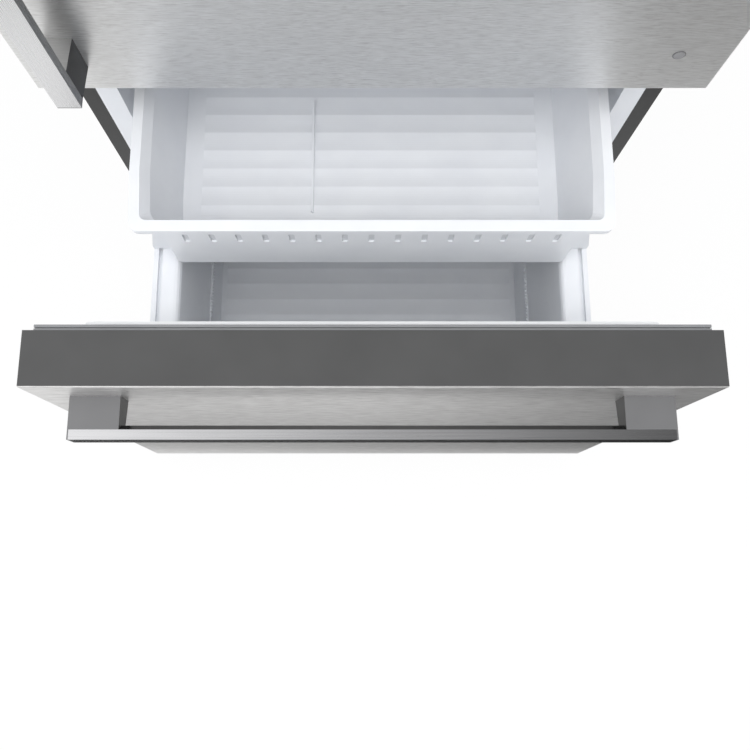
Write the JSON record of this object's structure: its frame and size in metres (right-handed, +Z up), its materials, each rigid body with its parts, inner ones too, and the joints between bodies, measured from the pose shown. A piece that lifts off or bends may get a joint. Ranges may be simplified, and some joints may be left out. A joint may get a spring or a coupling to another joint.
{
  "type": "bottom freezer refrigerator",
  "caption": "Full-height refrigerator with a hinged stainless fridge door above a pull-out freezer drawer, bar handles, shelves, crispers, door bins and a machine bay.",
  "frame": {"origin": "on the floor plane Z = 0, in the middle of the part's width and depth in the rest pose, with the drawer drawn out", "axes": "+Z up, +X to the right as seen from the front, +Y towards the back; the doors face -Y"},
  "size_m": [0.756, 1.102, 1.7],
  "materials": {
    "cabinet_paint": "satin charcoal paint",
    "foam": "rigid polyurethane foam",
    "liner": "white vacuum-formed liner plastic",
    "zinc_steel": "zinc-plated steel",
    "black_plastic": "black moulded plastic",
    "dark_plastic": "dark grey moulded plastic",
    "black_steel": "black enamelled steel",
    "grommet_rubber": "black rubber",
    "coil_aluminium": "bare aluminium",
    "lens_plastic": "frosted light diffuser",
    "shelf_glass": "tempered glass",
    "clear_plastic": "clear moulded plastic",
    "stainless": "stainless steel brushed along the width",
    "cap_plastic": "dark grey textured plastic",
    "seal_rubber": "grey magnetic seal",
    "handle_steel": "brushed handle bar",
    "bracket_metal": "satin grey casting",
    "plug_plastic": "grey plug",
    "bin_plastic": "white moulded plastic"
  },
  "bodies": {
    "cabinet": {"cabinet_shell": "cabinet_paint", "cabinet_foam": "foam", "fridge_liner": "liner", "freezer_liner": "liner", "back_panel": "cabinet_paint", "mullion_rail": "cabinet_paint", "base_plate": "zinc_steel", "chassis": "zinc_steel", "toe_grille": "black_plastic", "machine_cover": "dark_plastic", "compressor": "black_steel", "compressor_mounts": "grommet_rubber", "condenser_coil": "black_steel", "condenser_fan_motor": "dark_plastic", "drain_pan": "liner", "top_hinge": "zinc_steel", "hinge_cover": "dark_plastic", "centre_hinge": "zinc_steel", "evaporator_cover": "liner", "evaporator": "coil_aluminium", "evaporator_fan_motor": "dark_plastic", "air_tower": "liner", "light_lens": "lens_plastic", "control_panel": "dark_plastic", "shelf_frames": "liner", "shelf_glass": "shelf_glass", "crisper_cover": "liner", "slide_rails_outer": "zinc_steel", "roller_axles": "zinc_steel"},
    "fridge_door": {"fridge_door_skin": "stainless", "fridge_door_foam": "foam", "fridge_door_liner": "liner", "fridge_door_caps": "cap_plastic", "fridge_door_seal": "seal_rubber", "fridge_handle_bar": "handle_steel", "fridge_handle_brackets": "bracket_metal", "door_plug": "plug_plastic", "door_bin_upper": "clear_plastic", "door_bin_middle": "clear_plastic", "door_bin_lower": "clear_plastic"},
    "drawer": {"freezer_door_skin": "stainless", "freezer_door_foam": "foam", "freezer_door_liner": "liner", "freezer_door_caps": "cap_plastic", "freezer_door_seal": "seal_rubber", "freezer_handle_bar": "handle_steel", "freezer_handle_brackets": "bracket_metal", "drawer_frame": "zinc_steel", "slide_rails_inner": "zinc_steel", "lower_bin": "bin_plastic"},
    "rails": {"slide_rails_middle": "zinc_steel"},
    "basket": {"upper_basket": "bin_plastic"},
    "crisper_l": {"crisper_left": "clear_plastic"},
    "crisper_r": {"crisper_right": "clear_plastic"},
    "evap_fan": {"evaporator_fan": "black_plastic"},
    "cond_fan": {"condenser_fan": "black_plastic"},
    "roller_l": {"roller_left": "black_plastic"},
    "roller_r": {"roller_right": "black_plastic"},
    "foot_l": {"foot_left": "black_plastic"},
    "foot_r": {"foot_right": "black_plastic"}
  },
  "joints": [
    {"name": "fridge_door_hinge", "type": "hinge", "parent": "cabinet", "child": "fridge_door", "pos_m": [0.366, -0.138, 1.2], "axis": [0, 0, 1], "range_deg": [0, 130]},
    {"name": "freezer_drawer_slide", "type": "slide", "parent": "cabinet", "child": "drawer", "axis": [0, -1, 0], "range_m": [-0.34, 0.08]},
    {"name": "rails_slide", "type": "slide", "parent": "cabinet", "child": "rails", "axis": [0, -1, 0], "range_m": [-0.17, 0.04]},
    {"name": "basket_slide", "type": "slide", "parent": "drawer", "child": "basket", "axis": [0, -1, 0], "range_m": [-0.03, 0.1]},
    {"name": "crisper_left_slide", "type": "slide", "parent": "cabinet", "child": "crisper_l", "axis": [0, -1, 0], "range_m": [0, 0.2]},
    {"name": "crisper_right_slide", "type": "slide", "parent": "cabinet", "child": "crisper_r", "axis": [0, -1, 0], "range_m": [0, 0.2]},
    {"name": "evaporator_fan_spin", "type": "hinge", "parent": "cabinet", "child": "evap_fan", "pos_m": [0, 0.443, 0.515], "axis": [0, 1, 0], "continuous": true},
    {"name": "condenser_fan_spin", "type": "hinge", "parent": "cabinet", "child": "cond_fan", "pos_m": [-0.068, 0.377, 0.128], "axis": [1, 0, 0], "continuous": true},
    {"name": "roller_left_spin", "type": "hinge", "parent": "cabinet", "child": "roller_l", "pos_m": [-0.318, 0.481, 0.022], "axis": [1, 0, 0], "continuous": true},
    {"name": "roller_right_spin", "type": "hinge", "parent": "cabinet", "child": "roller_r", "pos_m": [0.318, 0.481, 0.022], "axis": [1, 0, 0], "continuous": true},
    {"name": "foot_left_screw", "type": "slide", "parent": "cabinet", "child": "foot_l", "axis": [0, 0, -1], "range_m": [0, 0.015]},
    {"name": "foot_right_screw", "type": "slide", "parent": "cabinet", "child": "foot_r", "axis": [0, 0, -1], "range_m": [0, 0.015]}
  ],
  "couplings": [
    {"joint": "rails_slide", "follows": "freezer_drawer_slide", "ratio": 0.5},
    {"joint": "crisper_left_slide", "follows": "fridge_door_hinge", "m_per_rad": 0.088},
    {"joint": "crisper_right_slide", "follows": "fridge_door_hinge", "m_per_rad": 0.088}
  ]
}
